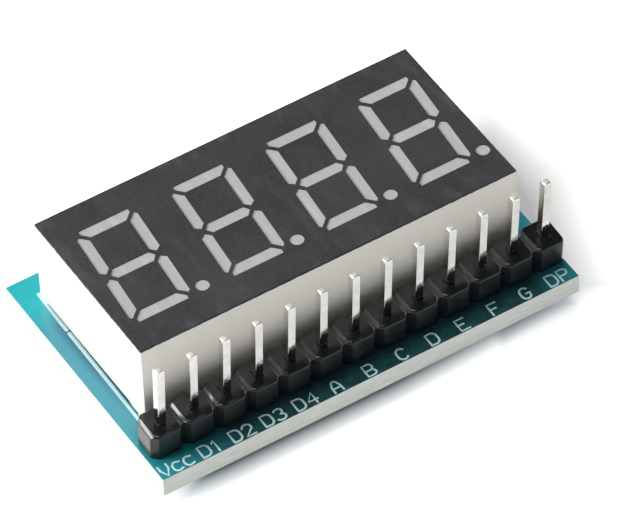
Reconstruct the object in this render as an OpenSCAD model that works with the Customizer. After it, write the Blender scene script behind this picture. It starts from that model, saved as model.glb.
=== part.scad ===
// Four digit seven segment display module.
// A moulded display block and a 13 pin header are soldered to one circuit board.
// X runs along the digits, -Y points to the header and +Z out of the display face.
// The origin is under the middle of the board, on the plane the pin ends stand on.

/* [Circuit board] */
// Thickness of the board
board_t = 1.6; // [1:0.1:2.4]
// How far the soldered pin ends reach below the board
stand = 1.5; // [1.4:0.1:3]
// Bare board beyond the longer of the display and the header strip, at each end
end_margin = 0.22; // [0:0.02:4]
// Printed strip between the board's front edge and the header strip
label_strip = 1.68; // [1:0.02:6]
// Free board between the header strip and the display wall
wall_gap = 0.71; // [0.3:0.01:4]
// Bare board behind the display
back_strip = 2.01; // [0.5:0.01:6]
// Diameter of the drilled holes for the header pins
header_hole_d = 1.1; // [1.06:0.02:1.3]
// Diameter of the drilled holes for the display pins
display_hole_d = 0.8; // [0.7:0.02:1]

/* [Pin header] */
// Distance between neighbouring pins, in the header and under the display
pin_pitch = 2.54; // [2.5:0.01:2.58]
// Side of the square header pins
pin_w = 0.64; // [0.5:0.02:0.66]
// Reach of the header pins above their strip
pin_rise = 5.5; // [3:0.1:9]
// Length of the tapered pin ends
pin_tip = 0.5; // [0.2:0.05:0.8]
// Side of the small flat at the very end of a header pin
pin_flat = 0.3; // [0.1:0.05:0.4]
// Height of the moulded header strip
strip_h = 2.3; // [1.5:0.1:3]
// Width of the moulded header strip
strip_w = 2.5; // [2:0.1:3]
// Corner cut between the cells of the strip, seen from above
cell_cut = 0.44; // [0.2:0.02:0.6]
// Depth of the breaking groove between two cells
groove_d = 0.26; // [0.1:0.02:0.5]
// Length lost from the last cell where the strip was broken off
break_loss = 0.26; // [0:0.02:0.4]
// Sideways shift of the strip from the middle of the board
strip_shift = 0.08; // [-0.1:0.01:0.1]
// Forward lean of the soldered header, in degrees
header_lean = 4.3; // [0:0.1:5]

/* [Display housing] */
// Length of the display block
display_l = 29.8; // [27:0.1:34]
// Width of the display block
display_w = 14; // [12.6:0.1:18]
// Height of the display block without its feet
display_h = 6.95; // [6:0.05:10]
// Sideways shift of the display from the middle of the board
display_shift = -0.08; // [-0.1:0.01:0.1]
// Height of the corner feet under the block
foot_h = 0.2; // [0.1:0.05:0.6]
// Side of the square corner feet
foot_l = 1; // [0.5:0.1:1.5]
// Wall round the open pocket at the back of the block
wall_t = 0.7; // [0.5:0.05:0.75]
// Depth of the open pocket at the back of the block
pocket_depth = 2; // [1.9:0.1:3]
// Thickness of the dark coat on the face
coat_t = 0.06; // [0.04:0.01:0.2]
// Bare rim left between the coat and the edge of the face
coat_rim = 0.05; // [0:0.01:0.2]

/* [Digits] */
// Width of a digit, over its upright strokes
digit_w = 4.74; // [4.4:0.02:4.9]
// Height of a digit
digit_h = 9.33; // [8.6:0.01:9.6]
// Height of the level strokes
bar_t = 0.92; // [0.7:0.02:1.1]
// Width of the upright strokes
post_t = 0.8; // [0.6:0.02:1]
// Gap between two strokes, across their mitre
stroke_gap = 0.26; // [0.16:0.02:0.4]
// Length cut off the outer corners of the level strokes
corner_cut = 0.42; // [0.2:0.02:0.6]
// Cut at the outer corners of the upright strokes
post_cut = 0.19; // [0.05:0.01:0.3]
// Gap between the tips of an upper and a lower upright stroke
waist_gap = 0.46; // [0.3:0.02:0.6]
// Height of the slope at the outer side of those tips
waist_slope = 0.32; // [0.2:0.02:0.4]
// How far the middle stroke reaches past the inner sides of the upright strokes
middle_reach = 0.18; // [0.1:0.02:0.3]
// Length of the tapered ends of the middle stroke
middle_taper = 0.35; // [0.2:0.05:0.5]
// Lean of the digits to the right, in degrees
digit_slant = 4.9; // [0:0.1:8]
// Diameter of the decimal point
point_d = 1; // [0.6:0.05:1.2]
// Clear face between a decimal point and the end of its digit's cell
point_margin = 0.325; // [0.2:0.025:0.4]
// Shift of the digits from the middle of the face, along and across it
digit_shift = [-0.05, 0.05]; // [-0.1:0.01:0.1]

/* [Inside the display] */
// Thickness of the chip board
chip_board_t = 1; // [0.6:0.1:1.2]
// Gap between the chip board and the pocket walls, filled with resin
chip_board_gap = 0.2; // [0.1:0.05:0.25]
// How far the chip board's back lies inside the open pocket
chip_board_recess = 0.4; // [0.2:0.05:0.5]
// Side of a light chip
chip_w = 0.3; // [0.2:0.02:0.4]
// Height of a light chip
chip_h = 0.2; // [0.1:0.02:0.25]
// Thickness of a bond wire
wire_d = 0.04; // [0.03:0.01:0.06]
// Distance that a bond wire spans
wire_span = 0.5; // [0.4:0.02:0.6]
// Diameter of the display pins
display_pin_d = 0.5; // [0.4:0.02:0.6]
// Distance from a long side of the display to its row of pins
row_inset = 1.92; // [1.5:0.02:2.4]
// Height of the display pins above the chip board, inside the resin
pin_head = 0.2; // [0.1:0.02:0.3]

/* [Solder and small parts] */
// Radius of a header solder joint at the board
header_joint_r = 0.85; // [0.7:0.05:0.95]
// Radius of a display pin's solder joint at the board
display_joint_r = 0.75; // [0.6:0.05:0.95]
// Depth of the solder joints below the board
joint_h = 0.8; // [0.4:0.05:1]
// Length of a chip resistor
resistor_l = 1.6; // [1.4:0.05:2]
// Width of a chip resistor
resistor_w = 0.8; // [0.6:0.05:1.25]
// Height of a chip resistor
resistor_h = 0.45; // [0.3:0.05:0.6]
// Length of a resistor's metal end caps
cap_l = 0.3; // [0.2:0.05:0.5]
// Thickness of a resistor's metal end caps
cap_t = 0.03; // [0.02:0.01:0.06]
// Distance of the resistor row from the display's middle line, to the front
resistor_y = 2.2; // [1.8:0.1:2.6]
// Length of a transistor body
transistor_l = 2.9; // [2.4:0.1:3.2]
// Width of a transistor body
transistor_w = 1.3; // [1.1:0.05:1.6]
// Height of a transistor body
transistor_h = 0.95; // [0.7:0.05:1.1]
// Distance between the outer ends of a transistor's legs
leg_span = 2.4; // [2.2:0.05:2.8]
// Width of a transistor leg
leg_w = 0.42; // [0.3:0.02:0.5]
// Thickness of a transistor leg
leg_t = 0.12; // [0.08:0.01:0.2]
// Distance between the two legs on one side of a transistor
leg_pitch = 1.9; // [1.7:0.05:2]
// Distance of the transistor row from the display's middle line, to the back
transistor_y = 1.6; // [1.4:0.1:2.2]
// Reach of the solder in front of a small part's ends
fillet_l = 0.25; // [0.1:0.05:0.3]
// Share of a resistor's end face that the solder climbs
solder_climb = 0.8; // [0.4:0.1:1]

/* [Hidden] */
$fn = 48;
digit_count = 4;
segment_count = 8;
header_pins = 1 + digit_count + segment_count;
pins_per_row = 6;
display_pins = 2 * pins_per_row;

// Levels, from the standing plane upwards
board_top = stand + board_t;
housing_bottom = board_top + foot_h;
face_z = housing_bottom + display_h;
chip_board_z = housing_bottom + chip_board_recess;
chip_z = chip_board_z + chip_board_t;
pocket_z = housing_bottom + pocket_depth;
well_z = pocket_z - foot_h / 2;

// Plan of the board
strip_l = header_pins * pin_pitch - break_loss;
board_l = max(strip_l, display_l) + 2 * end_margin;
board_w = label_strip + strip_w + wall_gap + display_w + back_strip;
display_x = display_shift;
display_y = board_w / 2 - back_strip - display_w / 2;
display_rows = display_w - 2 * row_inset;

// The digits share the length of the face in equal cells
digit_pitch = display_l / digit_count;

// The header leans about its row line and stands on the front edge of its strip
row_x = strip_shift + break_loss / 2;
row_y = label_strip + strip_w / 2 - board_w / 2;
seat_lift = strip_w / 2 * sin(header_lean);
pin_top = strip_h + pin_rise;
tail_l = (board_top + seat_lift - pin_flat / 2 * sin(header_lean)) / cos(header_lean);
header_hole_y = row_y + (seat_lift + board_t / 2) * tan(header_lean);

// Digit outlines, for a digit standing upright on its own middle
half_w = digit_w / 2;
half_h = digit_h / 2;
inner_x = half_w - post_t;
inner_y = half_h - bar_t;
mitre_step = stroke_gap / sqrt(2);
waist_tip = waist_gap / 2;
middle_end = inner_x + middle_reach;
middle_shoulder = middle_end - middle_taper;

function header_pin_x(i) = row_x + (i - (header_pins + 1) / 2) * pin_pitch;
function row_pin_x(i) = display_x + (i - (pins_per_row + 1) / 2) * pin_pitch;

// Display pins count along the front row, then back along the rear row
function display_pin_at(i) = i <= pins_per_row
    ? [row_pin_x(i), display_y - display_rows / 2]
    : [row_pin_x(display_pins + 1 - i), display_y + display_rows / 2];

function digit_x(n) = display_x + digit_shift[0] + (n - (digit_count - 1) / 2) * digit_pitch;
function digit_y() = display_y + digit_shift[1];
function transistor_at(i) = [digit_x(i - 1), display_y + transistor_y];
function resistor_at(i) = [header_pin_x(i + 1), display_y - resistor_y];

function slanted(p) = [p[0] + p[1] * tan(digit_slant), p[1]];
function turned(points, sx, sy) = [for (p = points) [p[0] * sx, p[1] * sy]];

// The stroke outlines of the upper right quarter, which mirroring turns into the rest
bar_outline = [
    [corner_cut - half_w, half_h],
    [half_w - corner_cut, half_h],
    [half_w - corner_cut, inner_y + post_t - corner_cut + mitre_step],
    [inner_x - mitre_step, inner_y],
    [mitre_step - inner_x, inner_y],
    [corner_cut - half_w, inner_y + post_t - corner_cut + mitre_step]];
post_outline = [
    [inner_x, inner_y - mitre_step],
    [half_w - post_cut, inner_y + post_t - post_cut - mitre_step],
    [half_w, inner_y + post_t - 2 * post_cut - mitre_step],
    [half_w, waist_tip + waist_slope],
    [inner_x + post_t / 2, waist_tip],
    [inner_x, waist_tip + post_t / 2]];
middle_outline = [
    [-middle_end, 0],
    [-middle_shoulder, bar_t / 2],
    [middle_shoulder, bar_t / 2],
    [middle_end, 0],
    [middle_shoulder, -bar_t / 2],
    [-middle_shoulder, -bar_t / 2]];

// Strokes in the order a, b, c, d, e, f, g
strokes = [
    bar_outline,
    post_outline,
    turned(post_outline, 1, -1),
    turned(bar_outline, 1, -1),
    turned(post_outline, -1, -1),
    turned(post_outline, -1, 1),
    middle_outline];

// Middle of each stroke, where its light chip sits, and the direction of its bond wire
post_mid = [inner_x + post_t / 2, inner_y / 2];
chip_spots = [
    [[0, half_h - bar_t / 2], 0],
    [post_mid, 90],
    [[post_mid[0], -post_mid[1]], 90],
    [[0, bar_t / 2 - half_h], 0],
    [[-post_mid[0], -post_mid[1]], 90],
    [[-post_mid[0], post_mid[1]], 90],
    [[0, 0], 0]];
point_at = [digit_pitch / 2 - point_margin - point_d / 2, point_d / 2 - half_h];
// The decimal point's chip lies nearer to its digit, and its wire runs that way too
point_chip = [point_at[0] - chip_w, point_at[1]];

module box(size, at) {
    translate([at[0] - size[0] / 2, at[1] - size[1] / 2, at[2]]) cube(size);
}

// The strokes and the point of every digit, as columns from one level to another
module digit_columns(low, high) {
    for (n = [0:digit_count - 1])
        translate([digit_x(n), digit_y(), low]) {
            for (s = strokes)
                linear_extrude(high - low) polygon([for (p = s) slanted(p)]);
            translate([point_at[0], point_at[1], 0])
                cylinder(d = point_d, h = high - low);
        }
}

// Places the children at each light chip, turned along its stroke
module at_each_chip() {
    for (n = [0:digit_count - 1])
        translate([digit_x(n), digit_y(), chip_z]) {
            for (c = chip_spots)
                translate(slanted(c[0])) rotate([0, 0, c[1]]) children();
            translate(point_chip) rotate([0, 0, 180]) children();
        }
}

module header_frame() {
    translate([row_x, row_y, board_top + seat_lift])
        rotate([header_lean, 0, 0])
            children();
}

module circuit_board() {
    color("darkcyan")
    difference() {
        box([board_l, board_w, board_t], [0, 0, stand]);
        for (i = [1:header_pins])
            translate([header_pin_x(i), header_hole_y, 0])
                cylinder(d = header_hole_d, h = 2 * board_top);
        for (i = [1:display_pins])
            translate(display_pin_at(i))
                cylinder(d = display_hole_d, h = 2 * board_top);
    }
}

module display_housing() {
    foot_x = (display_l - foot_l) / 2;
    foot_y = (display_w - foot_l) / 2;
    color("ivory")
    difference() {
        union() {
            box([display_l, display_w, display_h], [display_x, display_y, housing_bottom]);
            for (sx = [-1, 1], sy = [-1, 1])
                box([foot_l, foot_l, foot_h + wall_t],
                    [display_x + sx * foot_x, display_y + sy * foot_y, board_top]);
        }
        box([display_l - 2 * wall_t, display_w - 2 * wall_t, pocket_depth + foot_h],
            [display_x, display_y, board_top]);
        digit_columns(well_z, face_z + coat_t);
    }
}

module face_coat() {
    color("dimgray")
    difference() {
        box([display_l - 2 * coat_rim, display_w - 2 * coat_rim, coat_t],
            [display_x, display_y, face_z]);
        digit_columns(face_z - coat_t, face_z + 2 * coat_t);
    }
}

module chip_board_block() {
    gap = 2 * (wall_t + chip_board_gap);
    box([display_l - gap, display_w - gap, chip_board_t], [display_x, display_y, chip_board_z]);
}

module segment_resin() {
    color("lightgray")
    difference() {
        union() {
            box([display_l - 2 * wall_t, display_w - 2 * wall_t, pocket_z - chip_board_z],
                [display_x, display_y, chip_board_z]);
            digit_columns(well_z, face_z);
        }
        chip_board_block();
        for (i = [1:display_pins]) display_pin(i);
        light_chips();
        bond_wires();
    }
}

module chip_board() {
    color("seagreen")
    difference() {
        chip_board_block();
        for (i = [1:display_pins]) display_pin(i);
    }
}

module light_chips() {
    color("gold")
    at_each_chip() box([chip_w, chip_w, chip_h], [0, 0, 0]);
}

// Each wire is a thin ribbon that arches from the top of its chip to the chip board
module bond_wires() {
    color("goldenrod")
    at_each_chip()
        translate([wire_span / 2, 0, chip_h]) {
            rotate([90, 0, 0])
                rotate_extrude(angle = 180)
                    translate([(wire_span - wire_d) / 2, -wire_d / 2]) square(wire_d);
            box([wire_d, wire_d, chip_h], [wire_span / 2, 0, -chip_h]);
        }
}

module display_pin(i) {
    color("silver")
    translate(display_pin_at(i))
        cylinder(d = display_pin_d, h = chip_z + pin_head);
}

// One moulding: cells with cut corners, breaking grooves and square pin holes
module header_strip() {
    half = header_pins * pin_pitch / 2;
    side = strip_w / 2;
    front = [for (i = [0:header_pins - 1])
        let (x = i * pin_pitch - half)
        for (p = [[x, cell_cut - side], [x + cell_cut, -side],
                  [x + pin_pitch - cell_cut, -side]]) p];
    back = [for (p = front) [-p[0], -p[1]]];
    color([0.09, 0.09, 0.1])
    header_frame()
        difference() {
            linear_extrude(strip_h)
                polygon(concat(front, [[half, cell_cut - side]], back, [[-half, side - cell_cut]]));
            for (i = [0:header_pins])
                translate([i * pin_pitch - half, 0, strip_h])
                    rotate([90, 0, 0])
                        linear_extrude(2 * strip_w, center = true)
                            polygon([[-groove_d, 0], [0, -groove_d], [groove_d, 0]]);
            translate([half - break_loss, -strip_w, -strip_h])
                cube([pin_pitch, 2 * strip_w, 3 * strip_h]);
            for (i = [1:header_pins]) header_pin_shape(i);
        }
}

// Square bar with four sided tapered ends, at its place in the header's own frame
module header_pin_shape(i) {
    side = pin_w / 2;
    tip = pin_flat / 2;
    outline = [
        [-tip, -tail_l], [tip, -tail_l],
        [side, pin_tip - tail_l], [side, pin_top - pin_tip],
        [tip, pin_top], [-tip, pin_top],
        [-side, pin_top - pin_tip], [-side, pin_tip - tail_l]];
    translate([header_pin_x(i) - row_x, 0, 0])
        intersection() {
            rotate([90, 0, 0]) linear_extrude(pin_w, center = true) polygon(outline);
            rotate([90, 0, 90]) linear_extrude(pin_w, center = true) polygon(outline);
        }
}

module header_pin(i) {
    color("gainsboro") header_frame() header_pin_shape(i);
}

// A chip resistor hangs under the board, with its length across the rows
module resistor(i) {
    body = [resistor_w - 2 * cap_t, resistor_l - 2 * cap_t, resistor_h - 2 * cap_t];
    cap = [resistor_w, cap_l, resistor_h];
    at = resistor_at(i);
    reach = (resistor_l - cap_l) / 2;
    color("dimgray")
    union() {
        box(body, [at[0], at[1], stand - resistor_h + cap_t]);
        for (s = [-1, 1])
            box(cap, [at[0], at[1] + s * reach, stand - resistor_h]);
    }
}

// Legs of a transistor: two to the front and one to the back
function leg_spots() = [[-leg_pitch / 2, -1], [leg_pitch / 2, -1], [0, 1]];

module transistor(i) {
    at = transistor_at(i);
    body_z = stand - leg_t - transistor_h;
    knee_z = stand - leg_t - transistor_h / 2;
    foot = leg_span / 2 - transistor_w / 2;
    color([0.12, 0.12, 0.13])
    union() {
        box([transistor_l, transistor_w, transistor_h], [at[0], at[1], body_z]);
        for (leg = leg_spots()) {
            x = at[0] + leg[0];
            knee = foot / 2;
            // out of the body, up beside it and flat on the board
            box([leg_w, knee + leg_t, leg_t],
                [x, at[1] + leg[1] * (transistor_w + knee) / 2, knee_z]);
            box([leg_w, leg_t, stand - knee_z],
                [x, at[1] + leg[1] * (transistor_w / 2 + knee), knee_z]);
            box([leg_w, foot - knee + leg_t / 2, leg_t],
                [x, at[1] + leg[1] * (leg_span / 2 - (foot - knee + leg_t / 2) / 2), stand - leg_t]);
        }
    }
}

// A cone of solder under the board and the filling of its drilled hole
module solder_joint(at, radius, hole_d) {
    translate([at[0], at[1], stand - joint_h])
        cylinder(r1 = hole_d / 2, r2 = radius, h = joint_h);
    translate([at[0], at[1], stand])
        cylinder(d = hole_d, h = board_t);
}

module header_solder() {
    color("darkgray")
    difference() {
        for (i = [1:header_pins])
            solder_joint([header_pin_x(i), header_hole_y], header_joint_r, header_hole_d);
        header_frame()
            for (i = [1:header_pins]) header_pin_shape(i);
    }
}

module display_solder() {
    color("darkgray")
    difference() {
        for (i = [1:display_pins])
            solder_joint(display_pin_at(i), display_joint_r, display_hole_d);
        for (i = [1:display_pins]) display_pin(i);
    }
}

// Wedge of solder that starts at an end face and slopes to the board along +Y or -Y
module fillet(at, way, width, height) {
    translate([at[0] - width / 2, at[1], stand])
        rotate([90, 0, 90])
            linear_extrude(width)
                polygon([[0, 0], [way * fillet_l, 0], [0, -height]]);
}

module small_part_solder() {
    color("darkgray")
    union() {
        for (i = [1:digit_count + segment_count], s = [-1, 1])
            fillet([resistor_at(i)[0], resistor_at(i)[1] + s * resistor_l / 2],
                   s, resistor_w, resistor_h * solder_climb);
        for (i = [1:digit_count], leg = leg_spots())
            fillet([transistor_at(i)[0] + leg[0], transistor_at(i)[1] + leg[1] * leg_span / 2],
                   leg[1], leg_w, leg_t);
    }
}

circuit_board();
display_housing();
face_coat();
segment_resin();
chip_board();
light_chips();
bond_wires();
header_strip();
for (i = [1:display_pins])
    display_pin(i);
for (i = [1:header_pins])
    header_pin(i);
for (i = [1:digit_count])
    transistor(i);
for (i = [1:digit_count])
    resistor(i);
for (i = [1:segment_count])
    resistor(digit_count + i);
header_solder();
display_solder();
small_part_solder();
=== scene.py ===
import math
import random

import bmesh
import bpy
from mathutils import Matrix, Quaternion, Vector, noise


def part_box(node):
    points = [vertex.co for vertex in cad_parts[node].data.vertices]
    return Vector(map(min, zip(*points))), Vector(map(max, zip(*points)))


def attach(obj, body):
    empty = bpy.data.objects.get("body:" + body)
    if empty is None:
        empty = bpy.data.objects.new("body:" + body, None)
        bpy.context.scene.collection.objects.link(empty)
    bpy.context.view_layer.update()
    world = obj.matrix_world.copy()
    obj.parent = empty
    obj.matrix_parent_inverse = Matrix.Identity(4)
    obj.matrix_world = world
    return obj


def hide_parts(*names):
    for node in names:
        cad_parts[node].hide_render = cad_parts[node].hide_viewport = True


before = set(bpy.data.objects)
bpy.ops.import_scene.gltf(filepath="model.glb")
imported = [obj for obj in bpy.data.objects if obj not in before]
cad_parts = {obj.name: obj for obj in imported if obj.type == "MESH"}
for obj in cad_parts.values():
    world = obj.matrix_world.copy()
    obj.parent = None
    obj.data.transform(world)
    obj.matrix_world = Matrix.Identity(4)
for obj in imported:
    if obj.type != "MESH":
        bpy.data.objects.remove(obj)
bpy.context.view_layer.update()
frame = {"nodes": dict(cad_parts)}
MM = 0.001
random.seed(7)
bpy.ops.object.select_all(action="DESELECT")
print("nodes loaded:", len(frame["nodes"]))

# %% [markdown]
# ## Helpers for modelling by hand
# Blender's operators act on whatever is selected, in the mode that the active object is in. A
# person clicks to get there. A script has to say it each time, so these helpers do only that:
# they select one object, enter edit mode and pick faces, edges or points by a rule.
# %% Selecting and editing
def only(piece):
    """Selects one object and nothing else."""
    bpy.ops.object.select_all(action="DESELECT")
    piece.select_set(True)
    bpy.context.view_layer.objects.active = piece


def edit(piece):
    """Opens a piece in edit mode with everything selected."""
    only(piece)
    bpy.ops.object.mode_set(mode="EDIT")
    bpy.ops.mesh.select_all(action="SELECT")


def close():
    bpy.ops.object.mode_set(mode="OBJECT")


def pick(piece, kind, test):
    """In edit mode, selects the faces, edges or verts that pass the test, and nothing else."""
    bpy.ops.mesh.select_mode(type={"verts": "VERT", "edges": "EDGE", "faces": "FACE"}[kind])
    bpy.ops.mesh.select_all(action="DESELECT")
    mesh = bmesh.from_edit_mesh(piece.data)
    for item in getattr(mesh, kind):
        if test(item):
            item.select_set(True)
    mesh.select_flush_mode()
    bmesh.update_edit_mesh(piece.data)


def middle(edge):
    return (edge.verts[0].co + edge.verts[1].co) / 2


def extrude(move, across=(1, 1)):
    """Extrudes the selected face up or down, then scales its new end in x and y."""
    bpy.ops.mesh.extrude_region_move(TRANSFORM_OT_translate={"value": move})
    bpy.ops.transform.resize(value=(*across, 1))


def close_outwards():
    """Turns every face of the piece outwards and leaves edit mode."""
    bpy.ops.mesh.select_all(action="SELECT")
    bpy.ops.mesh.normals_make_consistent(inside=False)
    close()


# %% [markdown]
# A finished piece has its place in its mesh, with its object at the origin, as the CAD nodes do.
# Patterns in the materials then stay where they are on the mesh. Smooth shading
# with weighted normals keeps the large faces flat, so that they mirror straight beside a round.
# %% Finishing a piece
def settle(piece):
    """Moves the object's place, turn and scale into its mesh."""
    only(piece)
    bpy.ops.object.transform_apply(location=True, rotation=True, scale=True)


def modify(piece, kind, **settings):
    """Adds a modifier with its settings and applies it."""
    only(piece)
    bpy.ops.object.modifier_add(type=kind)
    modifier = piece.modifiers[-1]
    for name, value in settings.items():
        setattr(modifier, name, value)
    bpy.ops.object.modifier_apply(modifier=modifier.name)


def round_edges(piece, width, segments=2, angle=35):
    """Rounds every edge that is sharper than the angle."""
    modify(piece, "BEVEL", width=width, segments=segments, limit_method="ANGLE",
           angle_limit=math.radians(angle), use_clamp_overlap=True)


def smooth(piece, angle=35):
    """Smooth shading below the angle, led by the largest faces."""
    only(piece)
    bpy.ops.object.shade_smooth_by_angle(angle=math.radians(angle))
    modify(piece, "WEIGHTED_NORMAL", weight=100, keep_sharp=True)


def copied(piece, name, place=Matrix.Identity(4)):
    """A copy of a piece with its own mesh, turned and moved by `place`."""
    twin = piece.copy()
    twin.data = piece.data.copy()
    twin.name = name
    bpy.context.scene.collection.objects.link(twin)
    twin.data.transform(place)
    return twin


def joined(pieces, name):
    bpy.ops.object.select_all(action="DESELECT")
    for piece in pieces:
        piece.select_set(True)
    bpy.context.view_layer.objects.active = pieces[0]
    bpy.ops.object.join()
    pieces[0].name = name
    return pieces[0]


def remade(node, name, whole=True):
    """A copy of a CAD node's mesh, with its doubles merged and, if wanted, its flat faces whole."""
    piece = copied(frame["nodes"][node], name)
    piece.parent = None
    for key in list(piece.keys()):
        del piece[key]
    piece.data.materials.clear()
    edit(piece)
    bpy.ops.mesh.customdata_custom_splitnormals_clear()
    bpy.ops.mesh.remove_doubles(threshold=0.001 * MM)
    if whole:
        bpy.ops.mesh.dissolve_limited(angle_limit=math.radians(1))
    close()
    return piece


def paint(piece, *materials):
    """Gives a piece its materials, in the order of their slots."""
    piece.data.materials.clear()
    for material in materials:
        piece.data.materials.append(material)


def adopt(piece, slot, *nodes):
    """Rides the piece on the part and lets it stand for CAD nodes. The slot argument is not used."""
    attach(piece, "root")
    if nodes:
        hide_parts(*nodes)


# %% [markdown]
# ## The camera
# The module is seen from above its front left corner, from far away through a long lens, so that
# its edges stay nearly parallel. The camera is tilted a little to one side, as a hand held one is.
# %% Camera
VIEW_AZIMUTH = math.radians(-30.03)
VIEW_ELEVATION = math.radians(47.245)
VIEW_ROLL = math.radians(-2.80)
VIEW_DISTANCE = 440.1 * MM
VIEW_TARGET = Vector((2.059, -0.457, 5.0)) * MM

aim = Vector((-math.sin(VIEW_AZIMUTH) * math.cos(VIEW_ELEVATION),
              math.cos(VIEW_AZIMUTH) * math.cos(VIEW_ELEVATION),
              -math.sin(VIEW_ELEVATION)))
bpy.ops.object.camera_add(location=VIEW_TARGET - aim * VIEW_DISTANCE)
camera = bpy.context.object
turn = aim.to_track_quat("-Z", "Y") @ Quaternion((0, 0, 1), VIEW_ROLL)
camera.rotation_euler = turn.to_euler()
camera.data.lens = 363.2
camera.data.sensor_width = 36
bpy.context.scene.camera = camera
print("camera at", [round(v / MM, 1) for v in camera.location])

# %% [markdown]
# ## Patterns for the materials
# Every finish here is a Principled BSDF whose colour, roughness and relief come from noise and
# wave textures on Object coordinates, which are metres on this part. The helpers below keep each
# recipe short: one adds a node with its settings and links, the others are patterns made of it.
# %% Node helpers
def add(tree, kind, inputs=None, **settings):
    """Adds a node. A socket given as an input is linked, and any other value is set."""
    node = tree.nodes.new(kind)
    for name, value in settings.items():
        setattr(node, name, value)
    for name, value in (inputs or {}).items():
        if isinstance(value, bpy.types.NodeSocket):
            tree.links.new(value, node.inputs[name])
        else:
            node.inputs[name].default_value = value
    return node


def finish(name, colour, roughness, **sockets):
    """A new material and its tree, with the plain values set on the shader's own sockets."""
    material = bpy.data.materials.new(name)
    material.use_nodes = True
    shader = material.node_tree.nodes["Principled BSDF"]
    shader.inputs["Base Color"].default_value = (*colour, 1)
    shader.inputs["Roughness"].default_value = roughness
    for socket, value in sockets.items():
        shader.inputs[socket.replace("_", " ")].default_value = value
    return material, material.node_tree


def here(tree, scale=(1, 1, 1), turn=(0, 0, 0)):
    """Object coordinates, stretched by `scale` and turned."""
    source = add(tree, "ShaderNodeTexCoord").outputs["Object"]
    inputs = {"Vector": source, "Scale": scale, "Rotation": turn}
    return add(tree, "ShaderNodeMapping", inputs).outputs[0]


def place_in(tree):
    """Object coordinates as three sockets, named X, Y and Z."""
    return add(tree, "ShaderNodeSeparateXYZ", {"Vector": here(tree)}).outputs


def grain(tree, size, detail=3.0, stretch=(1, 1, 1), turn=(0, 0, 0)):
    """Soft noise from 0 to 1 with lumps about `size` millimetres across."""
    scale = [s / (size * MM) for s in stretch]
    inputs = {"Vector": here(tree, scale, turn), "Scale": 1.0, "Detail": detail}
    return add(tree, "ShaderNodeTexNoise", inputs).outputs[0]


def ramp(tree, value, low, high, start=0.0, end=1.0):
    """Turns the range low to high into start to end, and holds it there outside."""
    return add(tree, "ShaderNodeMapRange", {"Value": value, "From Min": low, "From Max": high,
                                            "To Min": start, "To Max": end}).outputs[0]


def math_of(tree, operation, a, b):
    node = add(tree, "ShaderNodeMath", operation=operation)
    for socket, value in zip(node.inputs, (a, b)):
        if isinstance(value, bpy.types.NodeSocket):
            tree.links.new(value, socket)
        else:
            socket.default_value = value
    return node.outputs[0]


def times(tree, a, b):
    return math_of(tree, "MULTIPLY", a, b)


def mixed(tree, factor, a, b):
    """Mixes two colours, each a socket or a plain red, green and blue."""
    node = add(tree, "ShaderNodeMix", data_type="RGBA")
    for socket, value in zip((node.inputs[0], node.inputs[6], node.inputs[7]), (factor, a, b)):
        if isinstance(value, bpy.types.NodeSocket):
            tree.links.new(value, socket)
        else:
            socket.default_value = value if socket is node.inputs[0] else (*value, 1)
    return node.outputs[2]


def relief(tree, height, depth, under=None):
    """Bump whose full height is `depth` millimetres, on top of an earlier bump."""
    inputs = {"Height": height, "Distance": depth * MM, "Strength": 1.0}
    if under:
        inputs["Normal"] = under
    return add(tree, "ShaderNodeBump", inputs).outputs[0]


def wire(tree, **links):
    """Links sockets to the shader: wire(tree, Base_Color=..., Normal=...)."""
    shader = tree.nodes["Principled BSDF"]
    for name, socket in links.items():
        tree.links.new(socket, shader.inputs[name.replace("_", " ")])


# %% [markdown]
# ## The circuit board
# A board like this is glass cloth in resin, coated on both faces with a glossy green-blue mask
# and cut along its sides. The mask is smooth paint over a faint weave, bluish in patches. On top
# it carries painted light: painted shade on the label strip in front of the header, lighter at the
# strip's ends, and painted light towards the back. A darker band runs beside the display's left
# side. The underside is plain. The cut sides are dull, pale and layered. The drilled board comes
# from CAD, and only its outer edges are softened.
# %% Board finishes
CLOTH_GRAIN = 0.45


def wire_mask(tree, cloth, colour):
    """What both masks share: gloss that varies a little, and the relief of the weave."""
    wire(tree, Base_Color=colour,
         Roughness=ramp(tree, grain(tree, 1.5), 0.3, 0.7, 0.14, 0.26),
         Normal=relief(tree, cloth, 0.006))


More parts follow.
